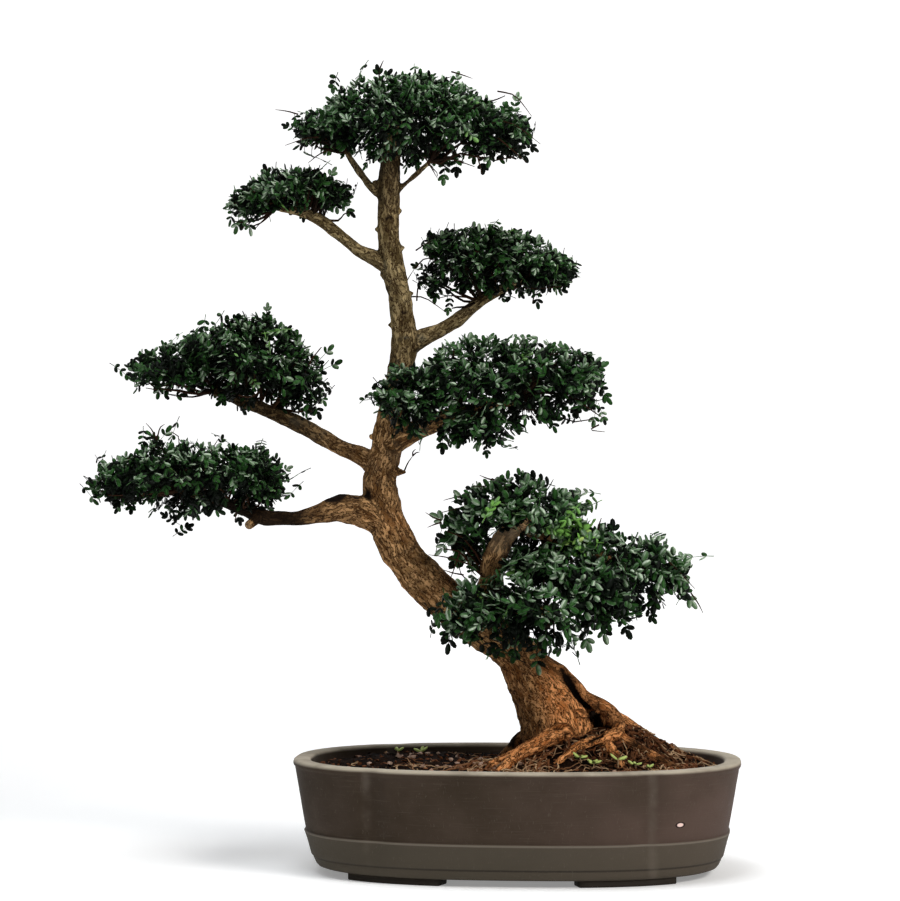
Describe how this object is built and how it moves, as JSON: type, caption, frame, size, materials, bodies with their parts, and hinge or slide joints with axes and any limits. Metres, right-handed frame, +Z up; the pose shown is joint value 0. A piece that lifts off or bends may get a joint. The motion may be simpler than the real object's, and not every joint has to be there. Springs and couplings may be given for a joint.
{
  "type": "potted bonsai tree",
  "caption": "Japanese pepper bonsai: slanting tree with thorny bark, surface roots and tiered leaf pads, in soil in a lobed oval stoneware pot.",
  "frame": {"origin": "on the surface the pot stands on, under the middle of the tree and pot together", "axes": "+Z up, X along the pot's length with the tree leaning towards -X, -Y towards the front of the pot"},
  "size_m": [0.6706, 0.304, 0.8115],
  "materials": {
    "stoneware": "matte",
    "screen": "matte",
    "soil": "matte",
    "bark": "matte",
    "leaf": "satin"
  },
  "bodies": {
    "root": {"pot": "stoneware", "drain_screen_1": "screen", "drain_screen_2": "screen", "soil": "soil", "tree_wood": "bark", "leaves_crown": "leaf", "leaves_upper_left": "leaf", "leaves_upper_right": "leaf", "leaves_mid_left": "leaf", "leaves_mid_right": "leaf", "leaves_low_left": "leaf", "leaves_low_right": "leaf"}
  },
  "joints": []
}
